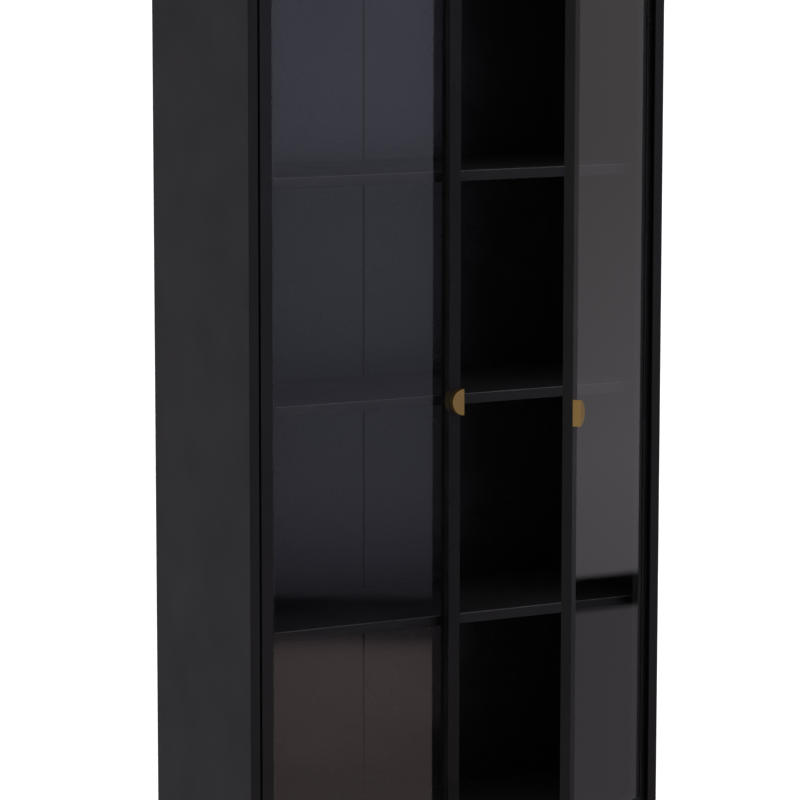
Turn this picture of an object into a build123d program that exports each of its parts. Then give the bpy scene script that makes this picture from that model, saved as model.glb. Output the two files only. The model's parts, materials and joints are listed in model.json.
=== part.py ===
from build123d import *
import os

# China cabinet with two glazed doors, in millimetres.
# +X is to the right of someone facing the doors, +Y runs to the back, +Z is up.
# The origin is on the floor, in the middle of the footprint of the cabinet with its door ajar.
# The left door is closed. The right door stands ajar by AJAR degrees.

# ---- driving dimensions ----
WIDTH = 900.0            # over the side panels
DEPTH = 380.0            # front edge to rear edge of the side panels
HEIGHT = 1800.0          # floor to top
BASE = 100.0             # floor to the underside of the carcass
BOARD = 20.0             # thickness of sides, top, bottom and shelves
AJAR = 37.0              # how far the right door stands open, in degrees

DOOR_T = 20.0            # door thickness
STILE = 24.0             # face width of the door frame profile
SIDE_GAP = 4.0           # door to side panel
END_GAP = 4.0            # door to top and bottom panel
MEETING_GAP = 3.0        # between the two doors
PIVOT_IN = 12.0          # pivot axis, from the door's hinge edge
PIVOT_BACK = 8.0         # pivot axis, behind the door's front face

# ---- places worked out from them ----
HALF_W = WIDTH / 2
INNER = HALF_W - BOARD                       # inner face of a side panel
FRONT = -60.0                                # the ajar door reaches as far in front as the back lies behind
REAR = FRONT + DEPTH
FLOOR_TOP = BASE + BOARD                     # top of the bottom panel
ROOF = HEIGHT - BOARD                        # underside of the top panel
CLEAR = (ROOF - FLOOR_TOP - 3 * BOARD) / 4   # clear height of a compartment
SHELF_TOPS = [FLOOR_TOP + (i + 1) * (CLEAR + BOARD) for i in range(3)]   # lower, middle, upper
SHELF_FRONT = FRONT + 29.0

BACK_T = 4.0             # back panel thickness
BACK_FRONT = REAR - 14.0                     # front face of the back panels
BACK_REAR = BACK_FRONT + BACK_T
GROOVE = 6.0             # depth of the groove that holds the back panels
SEAM = 4.0               # open joint between the two back panels
EDGE = 1.0               # chamfer on board edges

CONNECTOR_YS = (FRONT + 70.0, REAR - 60.0)   # cam locks, front and rear
DOWEL_Y = (FRONT + REAR) / 2
CAM_IN = 24.0            # cam centre, from the end of the board
PIN_YS = (FRONT + 80.0, REAR - 70.0)         # shelf pins, front and rear
PIN_R = 2.5
PIN_PITCH = 32.0         # spacing of the spare shelf pin holes

TUBE = 20.0              # base frame tube
TUBE_WALL = 1.5
LEG_X = HALF_W - 35.0                        # leg centres, left and right of the middle
LEG_YS = (FRONT + 35.0, REAR - 35.0)
CAP_T = 4.0              # leg cap below the tube
BASE_SCREW_XS = (-300.0, 0.0, 300.0)

DOOR_OUT, DOOR_IN = -INNER + SIDE_GAP, -MEETING_GAP / 2     # left door's hinge edge and free edge
DOOR_LOW, DOOR_HIGH = FLOOR_TOP + END_GAP, ROOF - END_GAP
DOOR_MID = (DOOR_LOW + DOOR_HIGH) / 2
DOOR_BACK = FRONT + DOOR_T
PIVOT_X, PIVOT_Y = DOOR_OUT + PIVOT_IN, FRONT + PIVOT_BACK  # left door's pivot axis

PROFILE_BACK = 16.0      # width of the door profile behind its front lip
LIP_T = 1.2              # thickness of the front lip, which the glass rests against
BEAD = 30.0              # reach of the glazing gasket behind the glass, from the door's edge
WALL = 2.0               # wall of the hollow door profile
GLASS_T = 4.0
HANDLE_R = 25.0          # half-round handle
HANDLE_T = 15.0
HANDLE_SCREW_DZ = 12.0
PLATE_T = 2.0            # pivot plates and wall brackets
PIVOT_R = 3.0
BUSH_R = 5.0
BUSH_DEPTH = 14.0
RUNNING = 0.05           # radial clearance of the pivot in its bush
FIT = 0.05               # radial clearance of pieces that sit in drilled holes
STRIKE_T = 1.5

BRACKET_X = 300.0        # wall brackets, left and right of the middle
BRACKET_HOLE_Z = ROOF - 25.0
BRACKET_HOLE_R = 3.0


# ---- helpers ----
def block(x0, x1, y0, y1, z0, z1):
    """A box between two corners, in any order of x."""
    size = (abs(x1 - x0), abs(y1 - y0), abs(z1 - z0))
    return Pos((x0 + x1) / 2, (y0 + y1) / 2, (z0 + z1) / 2) * Box(*size)


def rod_x(x0, x1, y, z, r):
    return Pos((x0 + x1) / 2, y, z) * Rot(0, 90, 0) * Cylinder(r, abs(x1 - x0))


def rod_y(x, y0, y1, z, r):
    return Pos(x, (y0 + y1) / 2, z) * Rot(90, 0, 0) * Cylinder(r, abs(y1 - y0))


def rod_z(x, y, z0, z1, r):
    return Pos(x, y, (z0 + z1) / 2) * Cylinder(r, abs(z1 - z0))


def cut(solid, tools):
    """Takes every tool away from a solid."""
    for tool in tools:
        solid -= tool
    return solid


def save(name, *solids):
    """Writes one node. Several solids stay separate in it."""
    shape = solids[0] if len(solids) == 1 else Compound(children=list(solids))
    export_step(shape, f"parts/{name}.step")


def mirrored(solid):
    return mirror(solid, about=Plane.YZ)


# ---- carcass boards and what joins them ----
# Boards fixed between the sides, each by its lower face.
FIXED_UNDERSIDES = (BASE, SHELF_TOPS[1] - BOARD, ROOF)
LOOSE_UNDERSIDES = (SHELF_TOPS[0] - BOARD, SHELF_TOPS[2] - BOARD)


def bolt_tools(side, z_mid):
    """Holes in a side panel for the cam bolts and the dowel of one fixed board."""
    face = side * INNER
    holes = [rod_x(face, face + side * 11, y, z_mid, 2.5) for y in CONNECTOR_YS]
    return holes + [rod_x(face, face + side * 11, DOWEL_Y, z_mid, 4.0)]


def pin_z(underside):
    return underside - PIN_R - FIT


def pin_hole_tools(side):
    """Two columns of shelf pin holes round each loose shelf."""
    face = side * INNER
    tools = []
    for underside in LOOSE_UNDERSIDES:
        for step in range(-2, 3):
            for y in PIN_YS:
                z = pin_z(underside) + step * PIN_PITCH
                tools.append(rod_x(face, face + side * 11, y, z, PIN_R + FIT))
    return tools


def side_panel(side):
    panel = block(side * INNER, side * HALF_W, FRONT, REAR, BASE, HEIGHT)
    panel = chamfer(panel.edges().filter_by(Axis.Z), EDGE)
    panel = chamfer(panel.faces().sort_by(Axis.Z)[-1].edges(), EDGE)
    panel -= block(side * INNER, side * (INNER + GROOVE), BACK_FRONT - 0.1, BACK_REAR + 0.1,
                   BASE + BOARD - GROOVE, ROOF + GROOVE)
    for underside in FIXED_UNDERSIDES:
        panel = cut(panel, bolt_tools(side, underside + BOARD / 2))
    return cut(panel, pin_hole_tools(side))


def end_tools(side, underside):
    """Holes in the end of a fixed board: bolt bores, cam pockets and the dowel hole."""
    end, z_mid = side * INNER, underside + BOARD / 2
    tools = []
    for y in CONNECTOR_YS:
        tools.append(rod_x(end, end - side * CAM_IN, y, z_mid, 3.6))
        tools.append(rod_z(end - side * CAM_IN, y, underside, underside + 13.5, 7.5))
    tools.append(rod_x(end, end - side * 21, DOWEL_Y, z_mid, 4.0))
    return tools


def fixed_board(underside, y0, y1):
    board = block(-INNER, INNER, y0, y1, underside, underside + BOARD)
    front_edges = board.edges().filter_by(Axis.X).group_by(Axis.Y)[0]
    board = chamfer(front_edges, EDGE)
    return cut(board, end_tools(-1, underside) + end_tools(1, underside))


def back_groove(z0, z1):
    """The groove across the top or bottom panel."""
    return block(-INNER, INNER, BACK_FRONT - 0.1, BACK_REAR + 0.1, z0, z1)


def bottom_panel():
    board = fixed_board(BASE, FRONT, REAR)
    board -= back_groove(FLOOR_TOP - GROOVE, FLOOR_TOP)
    screws = [rod_z(x, y, BASE, BASE + 13, 2.1) for x in BASE_SCREW_XS for y in LEG_YS]
    plates = [rod_z(x, PIVOT_Y, FLOOR_TOP - 13, FLOOR_TOP, 1.8) for x in plate_screw_xs()]
    return cut(board, screws + plates)


def top_panel():
    board = fixed_board(ROOF, FRONT, REAR)
    board -= back_groove(ROOF, ROOF + GROOVE)
    plates = [rod_z(x, PIVOT_Y, ROOF, ROOF + 13, 1.8) for x in plate_screw_xs()]
    brackets = [rod_z(x, y, ROOF, ROOF + 13, 2.1) for x, y in bracket_screw_places()]
    catches = [rod_z(x, CATCH_SCREW_Y, ROOF, ROOF + 13, 1.6) for x in catch_screw_xs()]
    return cut(board, plates + brackets + catches)


def loose_shelf(underside):
    shelf = block(-INNER + 1, INNER - 1, SHELF_FRONT, BACK_FRONT - 2, underside, underside + BOARD)
    return chamfer(shelf.edges().filter_by(Axis.X).group_by(Axis.Y)[0], EDGE)


def shelf_pins(underside):
    pins = []
    for side in (-1, 1):
        for y in PIN_YS:
            face = side * INNER
            pins.append(rod_x(face - side * 8, face + side * 10, y, pin_z(underside), PIN_R))
    return pins


def cam_bolt(side, y, z_mid):
    end = side * INNER
    thread = rod_x(end, end + side * 10.5, y, z_mid, 2.4)
    shaft = rod_x(end, end - side * (CAM_IN - 2), y, z_mid, 3.0)
    head = rod_x(end - side * (CAM_IN - 2), end - side * CAM_IN, y, z_mid, 3.2)
    return thread + shaft + head


def cam_lock(side, y, underside):
    x = side * (INNER - CAM_IN)
    cam = rod_z(x, y, underside, underside + 13, 7.4)
    slot = block(x - side * 4, x + side * 8, y - 3.8, y + 3.8, underside + 6, underside + 13)
    cross = block(x - 4, x + 4, y - 0.7, y + 0.7, underside, underside + 1.5)
    return cam - slot - cross - (Pos(x, y, 0) * Rot(0, 0, 90) * Pos(-x, -y, 0) * cross)


def connectors():
    """(cam bolts, cam locks, dowels) for every end of every fixed board."""
    bolts, cams, dowels = [], [], []
    for underside in FIXED_UNDERSIDES:
        z_mid = underside + BOARD / 2
        for side in (-1, 1):
            bolts += [cam_bolt(side, y, z_mid) for y in CONNECTOR_YS]
            cams += [cam_lock(side, y, underside) for y in CONNECTOR_YS]
            dowels.append(rod_x(side * (INNER + 10), side * (INNER - 20), DOWEL_Y, z_mid, 3.95))
    return bolts, cams, dowels


def back_panel(side):
    low, high = FLOOR_TOP - GROOVE + 0.5, ROOF + GROOVE - 0.5
    panel = block(side * SEAM / 2, side * (INNER + GROOVE - 0.5), BACK_FRONT, BACK_REAR, low, high)
    return panel - rod_y(side * BRACKET_X, BACK_FRONT, BACK_REAR, BRACKET_HOLE_Z, BRACKET_HOLE_R)


def back_joining_strip():
    """A T-shaped strip: the flange lies behind both back panels and the rib fills the joint."""
    flange = block(-10, 10, BACK_REAR, BACK_REAR + 1.5, FLOOR_TOP + 1, ROOF - 1)
    rib = block(-1.8, 1.8, BACK_FRONT + 1.5, BACK_REAR, FLOOR_TOP + 1, ROOF - 1)
    return flange + rib


# ---- base frame ----
def tube_x(x0, x1, y, z):
    inner = TUBE - 2 * TUBE_WALL
    outside = block(x0, x1, y - TUBE / 2, y + TUBE / 2, z - TUBE / 2, z + TUBE / 2)
    outside = chamfer(outside.edges().filter_by(Axis.X), 1.0)
    return outside - block(x0, x1, y - inner / 2, y + inner / 2, z - inner / 2, z + inner / 2)


def tube_y(x, y0, y1, z):
    inner = TUBE - 2 * TUBE_WALL
    outside = block(x - TUBE / 2, x + TUBE / 2, y0, y1, z - TUBE / 2, z + TUBE / 2)
    outside = chamfer(outside.edges().filter_by(Axis.Y), 1.0)
    return outside - block(x - inner / 2, x + inner / 2, y0, y1, z - inner / 2, z + inner / 2)


def leg(x, y):
    inner = TUBE - 2 * TUBE_WALL
    outside = block(x - TUBE / 2, x + TUBE / 2, y - TUBE / 2, y + TUBE / 2, CAP_T, BASE)
    outside = chamfer(outside.edges().filter_by(Axis.Z), 1.0)
    return outside - block(x - inner / 2, x + inner / 2, y - inner / 2, y + inner / 2,
                           CAP_T, BASE - TUBE_WALL)


def leg_cap(x, y):
    plug = TUBE / 2 - TUBE_WALL - 0.2
    flange = block(x - TUBE / 2, x + TUBE / 2, y - TUBE / 2, y + TUBE / 2, 0, CAP_T)
    flange = chamfer(flange.edges().filter_by(Axis.Z), 1.0)
    return flange + block(x - plug, x + plug, y - plug, y + plug, CAP_T, CAP_T + 14)


def base_long_rail(y):
    rail = tube_x(-LEG_X + TUBE / 2, LEG_X - TUBE / 2, y, BASE - TUBE / 2)
    return cut(rail, [rod_z(x, y, BASE - TUBE, BASE, 2.2) for x in BASE_SCREW_XS])


def base_side_rail(x):
    return tube_y(x, LEG_YS[0] + TUBE / 2, LEG_YS[1] - TUBE / 2, BASE - TUBE / 2)


def base_screw(x, y):
    shank = rod_z(x, y, BASE - TUBE, BASE + 12, 2.0)
    return shank + rod_z(x, y, BASE - TUBE - 3, BASE - TUBE, 4.5)


# ---- door pivots, catches and wall brackets, all fixed to the carcass ----
PLATE_SCREW_DX = (16.0, 30.0)                # from the pivot axis, towards the middle
CATCH_X0, CATCH_X1 = 6.0, 44.0               # magnet catch, from the middle
CATCH_FRONT = DOOR_BACK + STRIKE_T + 0.3
CATCH_REAR = CATCH_FRONT + 26.0
CATCH_H = 18.0
CATCH_SCREW_Y = CATCH_REAR - 7.0


def plate_screw_xs():
    return [side * (-PIVOT_X - dx) for side in (-1, 1) for dx in PLATE_SCREW_DX]


def catch_screw_xs():
    return [side * x for side in (-1, 1) for x in (CATCH_X0 + 6, CATCH_X1 - 6)]


def bracket_screw_places():
    return [(side * BRACKET_X + dx, REAR - 35.0) for side in (-1, 1) for dx in (-10, 10)]


def pivot_plate(side, z0, z1):
    """A steel plate against the top or bottom panel, with the pivot pin's hole."""
    axis_x = side * -PIVOT_X
    plate = block(axis_x + side * 9, axis_x - side * 37, PIVOT_Y - 7, PIVOT_Y + 9, z0, z1)
    plate = chamfer(plate.edges().filter_by(Axis.Z), 3.0)
    plate -= rod_z(axis_x, PIVOT_Y, z0, z1, PIVOT_R + 0.02)
    return cut(plate, [rod_z(axis_x - side * dx, PIVOT_Y, z0, z1, 1.8) for dx in PLATE_SCREW_DX])


def plate_screw(x, face, into):
    """A low-headed screw whose shank goes the way of into, +1 up or -1 down."""
    head_z = face - into * PLATE_T
    shank = rod_z(x, PIVOT_Y, head_z, face + into * 12, 1.7)
    return shank + rod_z(x, PIVOT_Y, head_z - into * 1.2, head_z, 3.0)


def pivot_pin(side, z0, z1):
    pin = rod_z(side * -PIVOT_X, PIVOT_Y, z0, z1, PIVOT_R)
    return chamfer(pin.edges().filter_by(GeomType.CIRCLE), 0.5)


def magnet_catch(side):
    body = block(side * CATCH_X0, side * CATCH_X1, CATCH_FRONT, CATCH_REAR, ROOF - CATCH_H, ROOF)
    body = chamfer(body.edges().filter_by(Axis.Z), 1.5)
    return cut(body, [rod_z(x, CATCH_SCREW_Y, ROOF - CATCH_H, ROOF, 1.8)
                      for x in catch_screw_xs() if x * side > 0])


def catch_screw(x):
    shank = rod_z(x, CATCH_SCREW_Y, ROOF - CATCH_H, ROOF + 12, 1.5)
    return shank + rod_z(x, CATCH_SCREW_Y, ROOF - CATCH_H - 2, ROOF - CATCH_H, 3.2)


def door_stop(side):
    stop = block(side * 10, side * 34, DOOR_BACK + 0.3, DOOR_BACK + 8.3, FLOOR_TOP, FLOOR_TOP + 12)
    return chamfer(stop.faces().sort_by(Axis.Z)[-1].edges(), 1.5)


def wall_bracket(side):
    """An angle under the top panel; its upright flange takes the wall screw."""
    x0, x1 = side * BRACKET_X - 20, side * BRACKET_X + 20
    flat = block(x0, x1, REAR - 50, BACK_FRONT, ROOF - PLATE_T, ROOF)
    upright = block(x0, x1, BACK_FRONT - PLATE_T, BACK_FRONT, ROOF - 40, ROOF)
    angle = flat + upright
    angle -= rod_y(side * BRACKET_X, BACK_FRONT - PLATE_T, BACK_FRONT, BRACKET_HOLE_Z, BRACKET_HOLE_R)
    return cut(angle, [rod_z(x, y, ROOF - PLATE_T, ROOF, 2.2)
                       for x, y in bracket_screw_places() if x * side > 0])


def bracket_screw(x, y):
    shank = rod_z(x, y, ROOF - PLATE_T, ROOF + 12, 2.0)
    return shank + rod_z(x, y, ROOF - PLATE_T - 2, ROOF - PLATE_T, 4.0)


# ---- the left door, closed; the right one is its mirror image, turned on its pivot ----
def door_box(inset, depth0, depth1):
    """A box over the whole door, drawn in by inset on four sides, between two depths from the front."""
    return block(DOOR_OUT + inset, DOOR_IN - inset, FRONT + depth0, FRONT + depth1,
                 DOOR_LOW + inset, DOOR_HIGH - inset)


def mitred(ring, inset, width):
    """Splits a ring at its 45 degree mitres: hinge side, free side, top, bottom."""
    x0, x1, z0, z1 = DOOR_OUT + inset, DOOR_IN - inset, DOOR_LOW + inset, DOOR_HIGH - inset
    outlines = (
        [(x0, z0), (x0 + width, z0 + width), (x0 + width, z1 - width), (x0, z1)],
        [(x1, z0), (x1 - width, z0 + width), (x1 - width, z1 - width), (x1, z1)],
        [(x0, z1), (x0 + width, z1 - width), (x1 - width, z1 - width), (x1, z1)],
        [(x0, z0), (x0 + width, z0 + width), (x1 - width, z0 + width), (x1, z0)],
    )
    members = []
    for outline in outlines:
        face = make_face(Polyline(*[(x, 0, z) for x, z in outline], close=True))
        prism = extrude(face, amount=DEPTH, dir=(0, 1, 0), both=True)
        members.append(ring & prism)
    return members


def handle_screw_zs():
    return (DOOR_MID - HANDLE_SCREW_DZ, DOOR_MID + HANDLE_SCREW_DZ)


HANDLE_SCREW_X = DOOR_IN - 8.0


def bush_hole(z0, z1):
    return rod_z(PIVOT_X, PIVOT_Y, z0, z1, BUSH_R + FIT)


def frame_members():
    ring = door_box(0, 0, DOOR_T) - door_box(STILE, 0, LIP_T) - door_box(PROFILE_BACK, LIP_T, DOOR_T)
    ring = chamfer(ring.faces().sort_by(Axis.Y)[0].edges(), 0.6)
    ring -= door_box(WALL, WALL, DOOR_T - WALL) - door_box(PROFILE_BACK - WALL, WALL, DOOR_T - WALL)
    ring -= bush_hole(DOOR_LOW, DOOR_LOW + WALL)
    ring -= bush_hole(DOOR_HIGH - WALL, DOOR_HIGH)
    for z in handle_screw_zs():
        ring -= rod_y(HANDLE_SCREW_X, FRONT, DOOR_BACK, z, 2.1)
    return mitred(ring, 0, STILE)


def corner_keys():
    """An L of die-cast metal in the hollow of each corner of the frame."""
    near, far, reach = WALL + 0.1, PROFILE_BACK - WALL - 0.1, 55.0
    y0, y1 = FRONT + WALL + 0.1, DOOR_BACK - WALL - 0.1
    keys = []
    for x_edge, x_way in ((DOOR_OUT, 1), (DOOR_IN, -1)):
        for z_edge, z_way in ((DOOR_LOW, 1), (DOOR_HIGH, -1)):
            upright = block(x_edge + x_way * near, x_edge + x_way * far, y0, y1,
                            z_edge + z_way * near, z_edge + z_way * reach)
            level = block(x_edge + x_way * near, x_edge + x_way * reach, y0, y1,
                          z_edge + z_way * near, z_edge + z_way * far)
            key = upright + level
            if x_way > 0:
                key -= bush_hole(z_edge, z_edge + z_way * BUSH_DEPTH)
            keys.append(key)
    return keys


def glass_pane():
    pane = door_box(PROFILE_BACK + 1, LIP_T, LIP_T + GLASS_T)
    return chamfer(pane.edges().filter_by(Axis.Y), 1.0)


def gasket_strips():
    near, far = PROFILE_BACK + 0.2, BEAD
    ring = door_box(near, LIP_T + GLASS_T, DOOR_T - 1) - door_box(far, LIP_T + GLASS_T, DOOR_T - 1)
    return mitred(ring, near, far - near)


def handle():
    """A half disc standing on the free stile, its flat side flush with the door's edge."""
    disc = rod_y(DOOR_IN, FRONT - HANDLE_T, FRONT, DOOR_MID, HANDLE_R)
    half = disc & block(DOOR_IN - 2 * HANDLE_R, DOOR_IN, FRONT - 2 * HANDLE_T, FRONT,
                        DOOR_MID - 2 * HANDLE_R, DOOR_MID + 2 * HANDLE_R)
    half = chamfer(half.faces().sort_by(Axis.Y)[0].edges(), 0.8)
    return cut(half, [rod_y(HANDLE_SCREW_X, FRONT - 10.5, FRONT, z, 2.05) for z in handle_screw_zs()])


def handle_screw(z):
    shank = rod_y(HANDLE_SCREW_X, FRONT - 10, DOOR_BACK, z, 2.0)
    return shank + rod_y(HANDLE_SCREW_X, DOOR_BACK, DOOR_BACK + 2.4, z, 3.8)


def pivot_bush(edge, way, flange):
    """A nylon bush in the door's end, its flange of the given thickness outside the door."""
    body = rod_z(PIVOT_X, PIVOT_Y, edge, edge + way * (BUSH_DEPTH - 0.2), BUSH_R)
    collar = rod_z(PIVOT_X, PIVOT_Y, edge - way * flange, edge, 7.0)
    bore = rod_z(PIVOT_X, PIVOT_Y, edge - way * flange, edge + way * BUSH_DEPTH, PIVOT_R + RUNNING)
    return body + collar - bore


def strike_plate():
    plate = block(DOOR_IN - 8, DOOR_IN - 38, DOOR_BACK, DOOR_BACK + STRIKE_T, DOOR_HIGH - 14, DOOR_HIGH - 2)
    return chamfer(plate.edges().filter_by(Axis.Y), 1.5)


def door_nodes():
    """The left door's nodes, each a list of solids."""
    hinge_stile, free_stile, top_rail, bottom_rail = frame_members()
    return {
        "hinge_stile": [hinge_stile],
        "meeting_stile": [free_stile],
        "top_rail": [top_rail],
        "bottom_rail": [bottom_rail],
        "corner_keys": corner_keys(),
        "glass": [glass_pane()],
        "gasket": gasket_strips(),
        "handle": [handle()],
        "handle_screws": [handle_screw(z) for z in handle_screw_zs()],
        "pivot_bushes": [pivot_bush(DOOR_LOW, 1, 1.9), pivot_bush(DOOR_HIGH, -1, 1.5)],
        "strike_plate": [strike_plate()],
    }


def turned(solid, degrees):
    """Turns a piece of the right door about its own pivot axis."""
    axis = Pos(-PIVOT_X, PIVOT_Y, 0)
    return axis * Rot(0, 0, degrees) * axis.inverse() * solid


# ---- build and write ----
os.makedirs("parts", exist_ok=True)

save("left_side_panel", side_panel(-1))
save("right_side_panel", side_panel(1))
save("bottom_panel", bottom_panel())
save("top_panel", top_panel())
save("middle_shelf", fixed_board(FIXED_UNDERSIDES[1], SHELF_FRONT, BACK_FRONT - 2))
for name, underside in zip(("lower", "upper"), LOOSE_UNDERSIDES):
    save(f"{name}_shelf", loose_shelf(underside))
    save(f"{name}_shelf_pins", *shelf_pins(underside))
for side, name in ((-1, "left"), (1, "right")):
    save(f"back_panel_{name}", back_panel(side))
save("back_joining_strip", back_joining_strip())

bolts, cams, dowels = connectors()
save("cam_bolts", *bolts)
save("cam_locks", *cams)
save("wood_dowels", *dowels)

LEG_PLACES = [(x, y) for x in (-LEG_X, LEG_X) for y in LEG_YS]
for (x, y), name in zip(LEG_PLACES, ("front_left", "rear_left", "front_right", "rear_right")):
    save(f"leg_{name}", leg(x, y))
save("leg_caps", *[leg_cap(x, y) for x, y in LEG_PLACES])
save("base_front_rail", base_long_rail(LEG_YS[0]))
save("base_rear_rail", base_long_rail(LEG_YS[1]))
save("base_side_rails", base_side_rail(-LEG_X), base_side_rail(LEG_X))
save("base_screws", *[base_screw(x, y) for x in BASE_SCREW_XS for y in LEG_YS])

for side, name in ((-1, "left"), (1, "right")):
    save(f"{name}_pivot_plates", pivot_plate(side, FLOOR_TOP, FLOOR_TOP + PLATE_T),
         pivot_plate(side, ROOF - PLATE_T, ROOF))
    save(f"{name}_pivot_pins", pivot_pin(side, FLOOR_TOP, DOOR_LOW + 12), pivot_pin(side, DOOR_HIGH - 12, ROOF))
    save(f"{name}_magnet_catch", magnet_catch(side))
    save(f"{name}_wall_bracket", wall_bracket(side))
plate_screws = [plate_screw(x, FLOOR_TOP, -1) for x in plate_screw_xs()]
plate_screws += [plate_screw(x, ROOF, 1) for x in plate_screw_xs()]
save("pivot_plate_screws", *plate_screws)
save("catch_screws", *[catch_screw(x) for x in catch_screw_xs()])
save("door_stops", door_stop(-1), door_stop(1))
save("wall_bracket_screws", *[bracket_screw(x, y) for x, y in bracket_screw_places()])

for name, solids in door_nodes().items():
    save(f"left_door_{name}", *solids)
    save(f"right_door_{name}", *[turned(mirrored(solid), AJAR) for solid in solids])
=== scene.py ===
import json
import math

import bmesh
import bpy
from mathutils import Matrix, Vector

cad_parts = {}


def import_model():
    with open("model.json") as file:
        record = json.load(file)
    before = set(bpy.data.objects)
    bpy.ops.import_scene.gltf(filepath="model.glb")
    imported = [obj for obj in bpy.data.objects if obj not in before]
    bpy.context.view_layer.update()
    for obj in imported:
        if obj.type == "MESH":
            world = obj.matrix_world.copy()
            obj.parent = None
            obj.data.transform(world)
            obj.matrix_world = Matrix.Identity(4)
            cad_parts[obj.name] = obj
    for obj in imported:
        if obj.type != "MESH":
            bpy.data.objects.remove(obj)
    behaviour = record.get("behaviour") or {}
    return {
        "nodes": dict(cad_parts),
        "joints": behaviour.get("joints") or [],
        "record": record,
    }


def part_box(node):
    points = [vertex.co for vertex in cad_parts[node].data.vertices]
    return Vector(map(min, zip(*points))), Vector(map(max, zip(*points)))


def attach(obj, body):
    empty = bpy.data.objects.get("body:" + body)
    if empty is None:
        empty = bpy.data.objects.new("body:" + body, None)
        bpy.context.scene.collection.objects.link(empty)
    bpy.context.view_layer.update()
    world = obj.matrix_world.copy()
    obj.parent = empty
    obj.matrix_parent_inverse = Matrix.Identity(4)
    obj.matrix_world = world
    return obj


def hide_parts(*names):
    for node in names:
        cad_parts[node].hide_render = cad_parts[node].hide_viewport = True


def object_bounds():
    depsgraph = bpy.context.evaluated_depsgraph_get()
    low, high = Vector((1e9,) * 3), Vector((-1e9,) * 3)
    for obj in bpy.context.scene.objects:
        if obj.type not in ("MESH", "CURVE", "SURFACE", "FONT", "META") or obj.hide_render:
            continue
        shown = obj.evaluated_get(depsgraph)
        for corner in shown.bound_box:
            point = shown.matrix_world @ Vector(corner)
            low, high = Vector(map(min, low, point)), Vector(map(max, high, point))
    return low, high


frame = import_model()
CAD_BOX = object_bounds()
NODES = frame["nodes"]
JOINTS = {j["name"]: j for j in frame["joints"]}
SCENE = bpy.context.scene
SIDES = ("left", "right")

NEAR = 1e-6                      # metres within which two points count as the same


# ---------------------------------------------------------------- node materials
class Maker:
    """A material's node tree, with short ways to add what the finishes below share."""

    def __init__(self, name):
        self.mat = bpy.data.materials.new(name)
        self.mat.use_nodes = True
        self.tree = self.mat.node_tree
        self.tree.nodes.clear()
        self.out = self.add("ShaderNodeOutputMaterial")
        self.coords = self.add("ShaderNodeTexCoord").outputs["Object"]

    def add(self, kind, **settings):
        node = self.tree.nodes.new(kind)
        for key, value in settings.items():
            setattr(node, key, value)
        return node

    def link(self, source, target):
        self.tree.links.new(source, target)

    def feed(self, value, socket):
        """Links another node's output to a socket, or sets the socket to a colour or a number."""
        if isinstance(value, tuple):
            socket.default_value = (*value, 1.0)
        elif isinstance(value, (int, float)):
            socket.default_value = value
        else:
            self.link(value, socket)

    def stretched(self, scale):
        mapping = self.add("ShaderNodeMapping")
        mapping.inputs["Scale"].default_value = scale
        self.link(self.coords, mapping.inputs["Vector"])
        return mapping.outputs["Vector"]

    def noise(self, scale, detail=3.0, rough=0.55, vector=None):
        node = self.add("ShaderNodeTexNoise")
        node.inputs["Scale"].default_value = scale
        node.inputs["Detail"].default_value = detail
        node.inputs["Roughness"].default_value = rough
        self.link(vector or self.coords, node.inputs["Vector"])
        return node.outputs["Fac"]

    def ramp(self, value, stops):
        node = self.add("ShaderNodeValToRGB")
        elements = node.color_ramp.elements
        while len(elements) < len(stops):
            elements.new(0.5)
        for element, (place, colour) in zip(elements, stops):
            element.position = place
            element.color = (*colour, 1.0)
        self.link(value, node.inputs["Fac"])
        return node.outputs["Color"]

    def span(self, value, low, high, to_low, to_high):
        node = self.add("ShaderNodeMapRange")
        for name, number in (("From Min", low), ("From Max", high), ("To Min", to_low), ("To Max", to_high)):
            node.inputs[name].default_value = number
        self.link(value, node.inputs["Value"])
        return node.outputs["Result"]

    def mix(self, share, a, b):
        node = self.add("ShaderNodeMix", data_type="RGBA")
        self.link(share, node.inputs[0])
        self.feed(a, node.inputs[6])
        self.feed(b, node.inputs[7])
        return node.outputs[2]

    def math(self, operation, a, b):
        node = self.add("ShaderNodeMath", operation=operation)
        self.feed(a, node.inputs[0])
        self.feed(b, node.inputs[1])
        return node.outputs[0]

    def blend(self, first, first_share, second):
        """Two patterns added up by their shares."""
        return self.math("ADD", self.math("MULTIPLY", first, first_share),
                         self.math("MULTIPLY", second, 1.0 - first_share))

    def edges(self, radius):
        """1 at an edge, 0 on a flat face, from how far a rounded normal leans from the true one."""
        bevel = self.add("ShaderNodeBevel", samples=4)
        bevel.inputs["Radius"].default_value = radius
        geometry = self.add("ShaderNodeNewGeometry")
        dot = self.add("ShaderNodeVectorMath", operation="DOT_PRODUCT")
        self.link(bevel.outputs[0], dot.inputs[0])
        self.link(geometry.outputs["True Normal"], dot.inputs[1])
        return self.span(dot.outputs["Value"], 0.98, 0.8, 0.0, 1.0)

    def bump(self, height, distance, strength=1.0, under=None):
        node = self.add("ShaderNodeBump")
        node.inputs["Strength"].default_value = strength
        node.inputs["Distance"].default_value = distance
        self.link(height, node.inputs["Height"])
        if under is not None:
            self.link(under, node.inputs["Normal"])
        return node.outputs["Normal"]

    def principled(self, colour, roughness, normal=None, specular=0.5, metallic=0.0):
        node = self.add("ShaderNodeBsdfPrincipled")
        node.inputs["Specular IOR Level"].default_value = specular
        node.inputs["Metallic"].default_value = metallic
        self.feed(colour, node.inputs["Base Color"])
        self.feed(roughness, node.inputs["Roughness"])
        if normal is not None:
            self.link(normal, node.inputs["Normal"])
        self.link(node.outputs[0], self.out.inputs["Surface"])
        return self.mat


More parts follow.
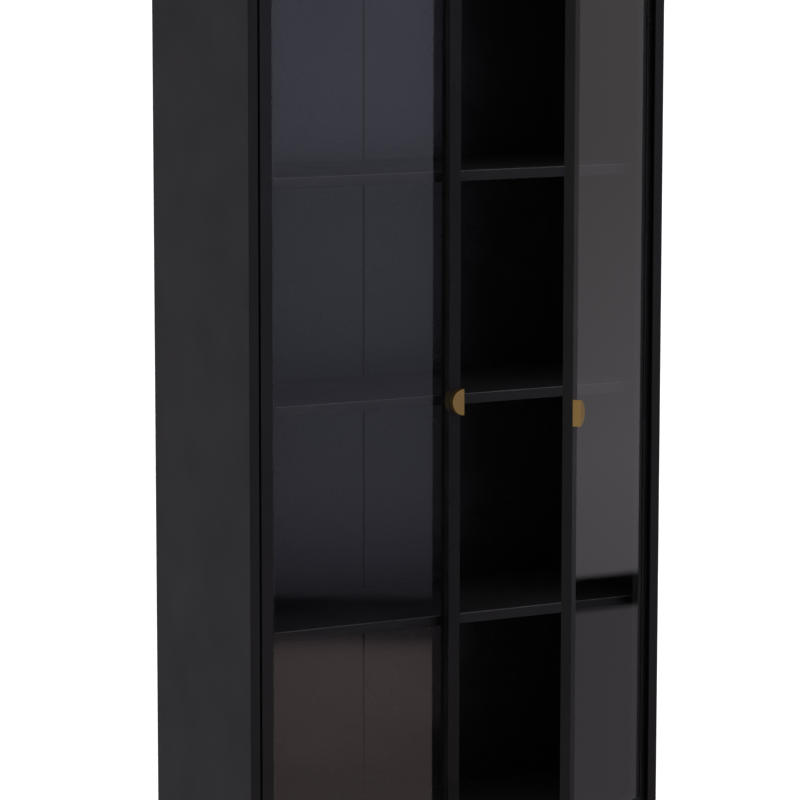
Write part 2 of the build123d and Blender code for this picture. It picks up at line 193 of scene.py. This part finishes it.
def paler(colour, times):
    """A colour multiplied up, at most white: for edges painted paler as rubbed wear and as a painted
    highlight, and for paler dust.
    """
    return tuple(min(1.0, c * times) for c in colour)


def along_grain(grain, across, along):
    """Noise scales: fine across the grain and long along it."""
    return tuple(along if axis == grain else across for axis in "xyz")


def lacquered_board(name, grain, dark, light, rough, specular, peel_height=0.00002, band=None):
    """Black lacquer over a board: faint streaks of grain, orange peel, and edges painted paler, partly as
    rubbed wear and partly as a painted highlight. band is the colour of the edge band glued to the board's
    front, whose top front edge is painted paler still as a painted highlight."""
    m = Maker(name)
    streaks = m.noise(1.0, 4.0, 0.6, m.stretched(along_grain(grain, 260.0, 5.2)))
    tone = m.blend(streaks, 0.45, m.noise(2.2, 3.0))
    colour = m.ramp(tone, [(0.3, dark), (0.7, light)])
    # Edges painted paler: partly rubbed wear, partly a painted highlight where the edges catch light; also a
    # little less rough there.
    wear_and_edge_highlight = m.math("MULTIPLY", m.edges(0.0015), m.span(m.noise(38.0, 5.0), 0.35, 0.7, 0.25, 1.0))
    if band:
        facing = m.add("ShaderNodeSeparateXYZ")
        m.link(m.add("ShaderNodeNewGeometry").outputs["True Normal"], facing.inputs[0])
        front = m.span(facing.outputs["Y"], -0.9, -0.95, 0.0, 1.0)
        # The top front edge of the band is painted pale: a painted highlight, not wear.
        top_edge_highlight = m.math("MULTIPLY", m.span(facing.outputs["Y"], -0.3, -0.36, 0.0, 1.0),
                          m.span(facing.outputs["Z"], 0.3, 0.36, 0.0, 1.0))
        colour = m.mix(front, colour, band)
        colour = m.mix(wear_and_edge_highlight, colour, paler(light, 5.0))
        colour = m.mix(top_edge_highlight, colour, paler(light, 8.0))
    else:
        colour = m.mix(wear_and_edge_highlight, colour, paler(light, 5.0))
    handled = m.noise(7.0, 6.0, 0.62)
    roughness = m.math("ADD", m.span(handled, 0.3, 0.7, rough - 0.05, rough + 0.06),
                       m.math("MULTIPLY", wear_and_edge_highlight, -0.06))
    peel = m.bump(m.noise(900.0, 2.0), peel_height)
    normal = m.bump(streaks, peel_height, under=peel)
    return m.principled(colour, roughness, normal, specular=specular)


def powder_coat(name, dark, light, rough, grit, specular=0.4):
    """Powder coat: an even tone broken by a fine crazed texture."""
    m = Maker(name)
    cells = m.add("ShaderNodeTexVoronoi", feature="SMOOTH_F1")
    cells.inputs["Scale"].default_value = 1400.0
    m.link(m.coords, cells.inputs["Vector"])
    colour = m.ramp(m.noise(5.0, 4.0), [(0.32, dark), (0.68, light)])
    # Edges painted paler: partly rubbed wear, partly a painted highlight along the edges.
    wear_and_edge_highlight = m.math("MULTIPLY", m.edges(0.0012), m.span(m.noise(55.0, 5.0), 0.4, 0.72, 0.15, 1.0))
    colour = m.mix(wear_and_edge_highlight, colour, paler(light, 5.0))
    roughness = m.span(m.noise(11.0, 6.0, 0.65), 0.3, 0.7, rough - 0.05, rough + 0.05)
    normal = m.bump(cells.outputs["Distance"], grit)
    return m.principled(colour, roughness, normal, specular=specular)


def brushed_metal(name, colour, shade, rough):
    """Metal brushed upright, with a few dull patches where it is handled."""
    m = Maker(name)
    lines = m.noise(1.0, 3.0, 0.7, m.stretched(along_grain("z", 2600.0, 31.2)))
    patches = m.noise(42.0, 5.0, 0.6)
    tint = m.ramp(m.blend(lines, 0.5, patches), [(0.32, shade), (0.66, colour)])
    # Edges painted paler: a painted highlight along the edges of the metal.
    tint = m.mix(m.math("MULTIPLY", m.edges(0.0009), 0.6), tint, paler(colour, 1.35))
    roughness = m.math("ADD", m.span(lines, 0.3, 0.7, rough - 0.07, rough + 0.07),
                       m.span(patches, 0.35, 0.7, -0.04, 0.06))
    return m.principled(tint, roughness, m.bump(lines, 0.00002), metallic=1.0)


def moulded(name, dark, light, rough, grain_scale=700.0, depth=0.00006, specular=0.4):
    """Moulded plastic or rubber with a fine grain."""
    m = Maker(name)
    spark = m.noise(grain_scale, 4.0, 0.6)
    colour = m.ramp(m.noise(24.0, 4.0), [(0.3, dark), (0.7, light)])
    roughness = m.span(m.noise(60.0, 4.0), 0.3, 0.7, rough - 0.06, rough + 0.06)
    return m.principled(colour, roughness, m.bump(spark, depth), specular=specular)


def bare_wood(name, dark, light):
    """Unfinished wood with its grain along X."""
    m = Maker(name)
    lines = m.noise(1.0, 5.0, 0.6, m.stretched(along_grain("x", 620.0, 14.0)))
    colour = m.ramp(lines, [(0.3, dark), (0.7, light)])
    return m.principled(colour, m.span(lines, 0.3, 0.7, 0.5, 0.7), m.bump(lines, 0.00008))


def pane_glass(name, tint, ior):
    """Flat smoked glass. The face that light meets first mirrors what both faces together would, and the
    rest goes straight through. It has faint ripples from rolling, and a thin film of dust in clouds."""
    m = Maker(name)
    ripple = m.noise(1.0, 2.0, 0.5, m.stretched((1.6, 1.6, 0.8)))
    normal = m.bump(ripple, 0.0012, 0.35)
    through = m.add("ShaderNodeBsdfTransparent")
    clouds = m.ramp(m.noise(3.0, 3.0), [(0.3, tint), (0.7, paler(tint, 1.03))])
    m.link(clouds, through.inputs["Color"])
    shine = m.add("ShaderNodeBsdfGlossy")
    shine.inputs["Color"].default_value = (1.0, 1.0, 1.0, 1.0)
    m.link(m.span(m.noise(9.0, 6.0, 0.62), 0.35, 0.75, 0.012, 0.05), shine.inputs["Roughness"])
    m.link(normal, shine.inputs["Normal"])
    fresnel = m.add("ShaderNodeFresnel")
    fresnel.inputs["IOR"].default_value = ior
    one_face = fresnel.outputs[0]
    both_faces = m.math("DIVIDE", m.math("MULTIPLY", one_face, 2.0), m.math("ADD", one_face, 1.0))
    outside = m.math("SUBTRACT", 1.0, m.add("ShaderNodeNewGeometry").outputs["Backfacing"])
    mixed = m.add("ShaderNodeMixShader")
    m.link(m.math("MULTIPLY", both_faces, outside), mixed.inputs[0])
    m.link(through.outputs[0], mixed.inputs[1])
    m.link(shine.outputs[0], mixed.inputs[2])
    m.link(mixed.outputs[0], m.out.inputs["Surface"])
    return m.mat


BLACK, BLACK_LIT = (0.003, 0.0027, 0.0029), (0.0046, 0.0041, 0.0044)
SHELF_BLACK, SHELF_LIT = (0.0085, 0.0078, 0.0086), (0.0125, 0.0114, 0.0125)
BAND_BLACK = (0.0052, 0.0048, 0.0052)
BACK_BLACK, BACK_LIT = (0.002, 0.0018, 0.002), (0.003, 0.0027, 0.003)
FRAME_BLACK, FRAME_LIT = (0.0034, 0.0032, 0.0035), (0.005, 0.0047, 0.0051)
STRIP_BLACK, STRIP_LIT = (0.0016, 0.0016, 0.0017), (0.0024, 0.0024, 0.0025)
RUBBER_BLACK, RUBBER_LIT = (0.004, 0.004, 0.004), (0.008, 0.008, 0.008)
BOARD_UP = lacquered_board("Lacquer_upright", "z", BLACK, BLACK_LIT, 0.42, 0.3)
BOARD_ALONG = lacquered_board("Lacquer_along", "x", SHELF_BLACK, SHELF_LIT, 0.42, 0.35,
                              band=BAND_BLACK)
BACK = lacquered_board("Lacquer_back", "z", BACK_BLACK, BACK_LIT, 0.26, 0.6, 0.000002)
FRAME = powder_coat("Powder_frame", FRAME_BLACK, FRAME_LIT, 0.3, 0.000008, 0.28)
BASE = powder_coat("Powder_base", (0.009, 0.009, 0.0095), (0.014, 0.0135, 0.014), 0.48, 0.00005)
BRASS = brushed_metal("Satin_brass", (0.72, 0.48, 0.165), (0.62, 0.4, 0.13), 0.38)
ZINC = brushed_metal("Zinc", (0.56, 0.57, 0.59), (0.42, 0.43, 0.45), 0.32)
PLASTIC = moulded("Black_plastic", (0.014, 0.014, 0.015), (0.022, 0.022, 0.023), 0.5)
JOINT = moulded("Joint_strip", STRIP_BLACK, STRIP_LIT, 0.8, specular=0.06)
RUBBER = moulded("Black_rubber", RUBBER_BLACK, RUBBER_LIT, 0.72, 420.0, 0.0001, 0.15)
NYLON = moulded("Nylon", (0.03, 0.03, 0.031), (0.045, 0.045, 0.046), 0.42)
BEECH = bare_wood("Beech", (0.42, 0.27, 0.14), (0.62, 0.44, 0.26))
GLASS = pane_glass("Smoked_glass", (0.94, 0.942, 0.946), 1.42)

BY_SLOT = {
    "black_board": BOARD_ALONG, "black_hardboard": BACK, "black_frame": FRAME, "smoked_glass": GLASS,
    "black_steel": BASE, "satin_brass": BRASS, "zinc_steel": ZINC, "black_plastic": PLASTIC,
    "black_rubber": RUBBER, "beech": BEECH, "nylon": NYLON,
}


def finish_nodes():
    """Gives every CAD node the material of its slot, but the uprights and the back's strip their own."""
    for part in frame["record"]["subparts"]:
        node = NODES[part["node"]]
        material = BY_SLOT[part["material_slot"]]
        if part["node"].endswith("_side_panel"):
            material = BOARD_UP
        elif part["node"] == "back_joining_strip":
            material = JOINT
        node.data.materials.clear()
        node.data.materials.append(material)


finish_nodes()


# ---------------------------------------------------------------- edges and pieces
def even_normals(obj):
    """Flat faces stay flat in the shading, and the narrow faces between them turn smoothly."""
    even = obj.modifiers.new("Even_normals", "WEIGHTED_NORMAL")
    even.keep_sharp = False


def soften(node, width):
    """Breaks every sharp edge of a CAD node with a small rounding."""
    obj = NODES[node]
    weld = obj.modifiers.new("Weld", "WELD")
    weld.merge_threshold = NEAR
    flat = obj.modifiers.new("Join_flat_faces", "DECIMATE")
    flat.decimate_type, flat.angle_limit = "DISSOLVE", math.radians(0.5)
    round_off = obj.modifiers.new("Round_edges", "BEVEL")
    round_off.width, round_off.segments = width, 2
    round_off.limit_method, round_off.angle_limit = "ANGLE", math.radians(35.0)
    round_off.use_clamp_overlap = False
    even_normals(obj)


def as_piece(name, bm, body, material, slot, *nodes):
    """Makes the finished mesh a piece that rides on a body and stands for the given CAD nodes."""
    bmesh.ops.recalc_face_normals(bm, faces=bm.faces)
    mesh = bpy.data.meshes.new(name)
    bm.to_mesh(mesh)
    bm.free()
    for polygon in mesh.polygons:
        polygon.use_smooth = True
    mesh.materials.append(material)
    obj = bpy.data.objects.new(name, mesh)
    SCENE.collection.objects.link(obj)
    even_normals(obj)
    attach(obj, body)
    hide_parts(*nodes)


def onto_door(side):
    """From the left door's place to the same place on the given door as it stands at rest."""
    if side == "left":
        return Matrix.Identity(4)
    hinge = JOINTS["right_door_hinge"]
    pivot = Vector(hinge["pos_m"])
    ajar = Matrix.Rotation(math.radians(-hinge["range_deg"][0]), 4, "Z")
    mirrored = Matrix.Scale(-1.0, 4, Vector((1.0, 0.0, 0.0)))
    return Matrix.Translation(pivot) @ ajar @ Matrix.Translation(-pivot) @ mirrored


def half_round_handle(side):
    """A thick half disc with a soft rim, its flat side level with the door's edge."""
    low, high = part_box("left_door_handle")
    radius, middle = (high.z - low.z) / 2, (high.z + low.z) / 2
    steps, rim, back_rim = 56, 0.0012, 0.0002
    bm = bmesh.new()
    outline = []
    for i in range(steps + 1):
        angle = math.radians(90.0 + 180.0 * i / steps)
        outline.append(bm.verts.new((high.x + radius * math.cos(angle), high.y,
                                     middle + radius * math.sin(angle))))
    back = bm.faces.new(outline)
    made = bmesh.ops.extrude_face_region(bm, geom=[back], use_keep_orig=True)["geom"]
    bmesh.ops.translate(bm, verts=[v for v in made if isinstance(v, bmesh.types.BMVert)],
                        vec=(0.0, low.y - high.y, 0.0))

    def level_edges(y):
        return [e for e in bm.edges if all(abs(v.co.y - y) < NEAR for v in e.verts)]

    def on_flat_side(vert):
        return abs(abs(vert.co.z - middle) - radius) < NEAR

    def round_off(edges, width, segments):
        bmesh.ops.bevel(bm, geom=edges, offset=width, segments=segments, profile=0.5, affect="EDGES")

    corners = [e for e in bm.edges if abs(e.verts[0].co.y - e.verts[1].co.y) > rim
               and on_flat_side(e.verts[0])]
    round_off(corners, rim, 3)
    round_off(level_edges(low.y), rim, 4)
    round_off(level_edges(high.y), back_rim, 1)
    bm.transform(onto_door(side))
    as_piece(f"{side}_handle_brass", bm, f"{side}_door", BRASS, "satin_brass", f"{side}_door_handle")


def solids_of(node):
    """The corners of each separate solid in a CAD node."""
    bm = bmesh.new()
    bm.from_mesh(NODES[node].data)
    bmesh.ops.remove_doubles(bm, verts=bm.verts, dist=NEAR)
    left, groups = set(bm.verts), []
    while left:
        group, waiting = set(), [min(left, key=lambda v: v.index)]
        while waiting:
            vert = waiting.pop()
            if vert not in group:
                group.add(vert)
                waiting += [e.other_vert(vert) for e in vert.link_edges]
        left -= group
        groups.append([v.co.copy() for v in sorted(group, key=lambda v: v.index)])
    bm.free()
    return groups


def screw_shape(points):
    """A screw's measures from its corners: the middle of its head's underside, the way the head points,
    the head's radius and height, and the shank's radius and length."""
    low = Vector([min(p[i] for p in points) for i in range(3)])
    high = Vector([max(p[i] for p in points) for i in range(3)])
    size, middle = high - low, (low + high) / 2
    axis = min(range(3), key=lambda i: abs(size[(i + 1) % 3] - size[(i + 2) % 3]))

    def reach(p):
        off = p - middle
        return math.hypot(off[(axis + 1) % 3], off[(axis + 2) % 3])

    head_r = max(reach(p) for p in points)
    rims = [p[axis] for p in points if reach(p) > head_r * 0.98]
    up = 1.0 if max(rims) > high[axis] - 1e-5 else -1.0
    top = high[axis] if up > 0 else low[axis]
    under = min(rims) if up > 0 else max(rims)
    shank_r = max(reach(p) for p in points if abs(p[axis] - top) > abs(top - under) + 1e-4)
    way, place = Vector((0.0, 0.0, 0.0)), middle.copy()
    way[axis], place[axis] = up, under
    return place, way, head_r, abs(top - under), shank_r, size[axis] - abs(top - under)


def fade(value, width):
    """0 below zero and 1 above it, turning smoothly over the width."""
    share = max(0.0, min(1.0, value / width + 0.5))
    return share * share * (3.0 - 2.0 * share)


def cross_recess(x, y, radius):
    """1 inside a cross of two slots, 0 outside it, with sloping walls."""
    narrow, long, wall = 0.17 * radius, 0.6 * radius, 0.1 * radius
    return max(min(fade(narrow - abs(a), wall), fade(long - abs(b), wall)) for a, b in ((x, y), (y, x)))


def add_screw(bm, place, way, head_r, head_h, shank_r, length):
    """A domed head with a cross recess, on a plain shank with a blunt end."""
    around = 48
    shares = (0.1, 0.18, 0.26, 0.36, 0.48, 0.56, 0.64, 0.78, 0.9, 0.97, 1.0)
    profile = [(r * head_r, head_h * (0.45 + 0.55 * math.sqrt(1.0 - 0.98 * r * r))) for r in shares]
    profile += [(head_r, 0.08 * head_h), (head_r * 0.97, 0.0), (shank_r, 0.0),
                (shank_r, -length + 0.3 * shank_r), (shank_r * 0.7, -length)]
    turn = way.to_track_quat("Z", "Y").to_matrix().to_4x4()
    placed = Matrix.Translation(place) @ turn
    depth = 0.62 * head_h
    rows = []
    for radius, height in profile:
        row = []
        for k in range(around):
            angle = 2.0 * math.pi * k / around
            x, y = radius * math.cos(angle), radius * math.sin(angle)
            sunk = depth * cross_recess(x, y, head_r) if height > 0.4 * head_h else 0.0
            row.append(bm.verts.new(placed @ Vector((x, y, height - sunk))))
        rows.append(row)
    for upper, lower in zip(rows, rows[1:]):
        for k in range(around):
            bm.faces.new((upper[k], lower[k], lower[(k + 1) % around], upper[(k + 1) % around]))
    for row, height in ((rows[0], head_h - depth), (rows[-1], -length)):
        centre = bm.verts.new(placed @ Vector((0.0, 0.0, height)))
        for k in range(around):
            bm.faces.new((row[k], row[(k + 1) % around], centre))


def screws(name, source, node, body, place=Matrix.Identity(4)):
    """New screws for a node, shaped and placed like the ones in the source node."""
    bm = bmesh.new()
    for points in solids_of(source):
        add_screw(bm, *screw_shape(points))
    bm.transform(place)
    as_piece(name, bm, body, ZINC, "zinc_steel", node)


REPLACED = set()
for SIDE in SIDES:
    half_round_handle(SIDE)
    screws(f"{SIDE}_handle_fixings", "left_door_handle_screws", f"{SIDE}_door_handle_screws", f"{SIDE}_door",
           onto_door(SIDE))
    REPLACED |= {f"{SIDE}_door_handle", f"{SIDE}_door_handle_screws"}
for GROUP in ("pivot_plate_screws", "catch_screws", "wall_bracket_screws", "base_screws"):
    screws(f"{GROUP}_crosshead", GROUP, GROUP, "carcass")
    REPLACED.add(GROUP)

SHELF_EDGE, SMALL_EDGE = 0.0009, 0.00025
EDGE_BY_SLOT = {"black_board": 0.0005, "black_frame": 0.0003, "black_steel": 0.0006}
for PART in frame["record"]["subparts"]:
    NODE = PART["node"]
    if NODE in REPLACED or NODE.endswith(("_gasket", "_glass")):
        continue
    if NODE.endswith("_shelf"):
        soften(NODE, SHELF_EDGE)
    else:
        soften(NODE, EDGE_BY_SLOT.get(PART["material_slot"], SMALL_EDGE))


# ---------------------------------------------------------------- studio
def card(name, middle, heading, reach, graded):
    """A glowing upright card that only shows in reflections. heading is the way it runs, in degrees from
    +X, and reach is half its length. graded gives its colour at each height, from the lowest up."""
    low, high = graded[0][0], graded[-1][0]
    turned = math.radians(heading)
    along = Vector((math.cos(turned), math.sin(turned))) * reach
    near, far = Vector(middle) - along, Vector(middle) + along
    mesh = bpy.data.meshes.new(name)
    mesh.from_pydata([(*near, low), (*far, low), (*far, high), (*near, high)], [], [(0, 1, 2, 3)])
    obj = bpy.data.objects.new(name, mesh)
    SCENE.collection.objects.link(obj)
    m = Maker(name)
    axis = m.add("ShaderNodeSeparateXYZ")
    m.link(m.coords, axis.inputs[0])
    glow = m.add("ShaderNodeEmission")
    stops = [((z - low) / (high - low), colour) for z, colour in graded]
    m.link(m.ramp(m.span(axis.outputs["Z"], low, high, 0.0, 1.0), stops), glow.inputs["Color"])
    m.link(glow.outputs[0], m.out.inputs["Surface"])
    mesh.materials.append(m.mat)
    for rays in ("camera", "diffuse", "transmission", "volume_scatter", "shadow"):
        setattr(obj, f"visible_{rays}", False)


def floor():
    """Plain pale paper, wide enough to reach the horizon."""
    mesh = bpy.data.meshes.new("Floor")
    half = 400.0
    mesh.from_pydata([(-half, -half, 0), (half, -half, 0), (half, half, 0), (-half, half, 0)], [],
                     [(0, 1, 2, 3)])
    obj = bpy.data.objects.new("Floor", mesh)
    SCENE.collection.objects.link(obj)
    m = Maker("Floor_paper")
    colour = m.ramp(m.noise(1.5, 3.0), [(0.3, (0.88, 0.88, 0.88)), (0.7, (0.9, 0.9, 0.9))])
    mesh.materials.append(m.principled(colour, 0.9, specular=0.1))
    obj.visible_glossy = False


def aimed(name, data, place, target):
    """Adds a light that points from its place at its target and isn't seen itself."""
    obj = bpy.data.objects.new(name, data)
    obj.location = place
    obj.rotation_mode = "QUATERNION"
    obj.rotation_quaternion = (Vector(target) - Vector(place)).to_track_quat("-Z", "Y")
    obj.visible_camera = False
    obj.visible_glossy = False
    SCENE.collection.objects.link(obj)


def overhead(strength):
    data = bpy.data.lights.new("Overhead", "SUN")
    data.energy, data.angle = strength, math.radians(100.0)
    aimed("Overhead", data, (0.0, -0.2, 6.0), (0.0, 0.0, 0.0))


def softbox(name, place, target, size, power, colour):
    data = bpy.data.lights.new(name, "AREA")
    data.shape, data.size, data.energy, data.color = "DISK", size, power, colour
    aimed(name, data, place, target)


def world(seen_colour, front_colour, back_colour):
    """White to the camera, and otherwise a soft grey that is brighter behind the cabinet."""
    made = bpy.data.worlds.new("Studio")
    SCENE.world = made
    made.use_nodes = True
    tree = made.node_tree
    tree.nodes.clear()
    out = tree.nodes.new("ShaderNodeOutputWorld")
    seen, lit = tree.nodes.new("ShaderNodeBackground"), tree.nodes.new("ShaderNodeBackground")
    seen.inputs["Color"].default_value = (*seen_colour, 1.0)
    place, axes = tree.nodes.new("ShaderNodeTexCoord"), tree.nodes.new("ShaderNodeSeparateXYZ")
    shade = tree.nodes.new("ShaderNodeValToRGB")
    for element, colour in zip(shade.color_ramp.elements, (front_colour, back_colour)):
        element.color = (*colour, 1.0)
    tree.links.new(place.outputs["Generated"], axes.inputs[0])
    tree.links.new(axes.outputs["Y"], shade.inputs["Fac"])
    tree.links.new(shade.outputs["Color"], lit.inputs["Color"])
    path, mix = tree.nodes.new("ShaderNodeLightPath"), tree.nodes.new("ShaderNodeMixShader")
    tree.links.new(path.outputs["Is Camera Ray"], mix.inputs[0])
    tree.links.new(lit.outputs[0], mix.inputs[1])
    tree.links.new(seen.outputs[0], mix.inputs[2])
    tree.links.new(mix.outputs[0], out.inputs["Surface"])


MIDDLE = (CAD_BOX[0] + CAD_BOX[1]) / 2
world(seen_colour=(1.0, 1.0, 1.0), front_colour=(0.29, 0.278, 0.296), back_colour=(0.42, 0.4, 0.43))
floor()
overhead(strength=3.4)
softbox("Key", place=(4.6, -4.4, 3.2), target=(-0.1, 0.2, 0.9), size=2.0, power=60.0,
        colour=(1.0, 0.985, 0.97))
softbox("Fill", place=(-4.4, -2.6, 2.6), target=MIDDLE, size=2.4, power=40.0, colour=(0.96, 0.97, 1.0))

# The card in front, as heights in metres and colours: from its foot up, a warm floor, a dark gap, and a
# grey wall that brightens towards its top.
GREY_WALL = [
    (-1.6, (0.46, 0.36, 0.36)), (-0.63, (0.48, 0.37, 0.37)), (-0.5985, (0.44, 0.34, 0.34)),
    (-0.572, (0.3, 0.23, 0.23)), (-0.552, (0.12, 0.09, 0.09)), (-0.5386, (0.03, 0.03, 0.03)),
    (-0.46, (0.0, 0.0, 0.0)), (-0.4085, (0.0, 0.0, 0.0)), (-0.4055, (0.12, 0.11, 0.14)),
    (-0.386, (0.14, 0.13, 0.17)), (-0.333, (0.18, 0.17, 0.22)), (-0.254, (0.21, 0.2, 0.27)),
    (-0.155, (0.24, 0.23, 0.31)), (-0.04, (0.27, 0.27, 0.36)), (0.24, (0.27, 0.28, 0.36)),
    (0.43, (0.29, 0.29, 0.38)), (0.7, (0.32, 0.33, 0.42)), (0.92, (0.31, 0.31, 0.4)),
    (1.02, (0.46, 0.46, 0.6)), (4.0, (0.46, 0.46, 0.6)),
]
card("Card_front", middle=(2.589, -4.882), heading=30.0, reach=3.5, graded=GREY_WALL)

# The card to the right: a dim foot, a dark gap, and a plain grey side.
GREY_SIDE = [
    (-1.6, (0.13, 0.12, 0.132)), (-0.357, (0.13, 0.12, 0.132)), (-0.354, (0.0, 0.0, 0.0)),
    (-0.257, (0.0, 0.0, 0.0)), (-0.254, (0.22, 0.205, 0.225)), (0.14, (0.245, 0.23, 0.25)),
    (0.7, (0.215, 0.195, 0.21)), (1.13, (0.19, 0.175, 0.185)), (4.0, (0.19, 0.175, 0.185)),
]
card("Card_right", middle=(5.03, 1.31), heading=74.0, reach=2.5, graded=GREY_SIDE)


# ---------------------------------------------------------------- camera
def camera():
    """At the photograph's viewing angle: 30 degrees to the left, 8.45 degrees down."""
    data = bpy.data.cameras.new("Camera")
    obj = bpy.data.objects.new("Camera", data)
    SCENE.collection.objects.link(obj)
    data.sensor_width, data.lens = 36.0, 182.2
    data.shift_x, data.shift_y = 0.0376, 0.0903
    data.clip_start, data.clip_end = 0.1, 200.0
    obj.location = (-3.9106, -6.4915, 1.9334)
    azimuth, pitch = math.radians(30.0), math.radians(8.45)
    ahead = Vector((math.sin(azimuth) * math.cos(pitch), math.cos(azimuth) * math.cos(pitch),
                    -math.sin(pitch)))
    obj.rotation_mode = "QUATERNION"
    obj.rotation_quaternion = ahead.to_track_quat("-Z", "Y")
    SCENE.camera = obj


camera()
SCENE.view_settings.view_transform = "Standard"
SCENE.view_settings.look = "None"
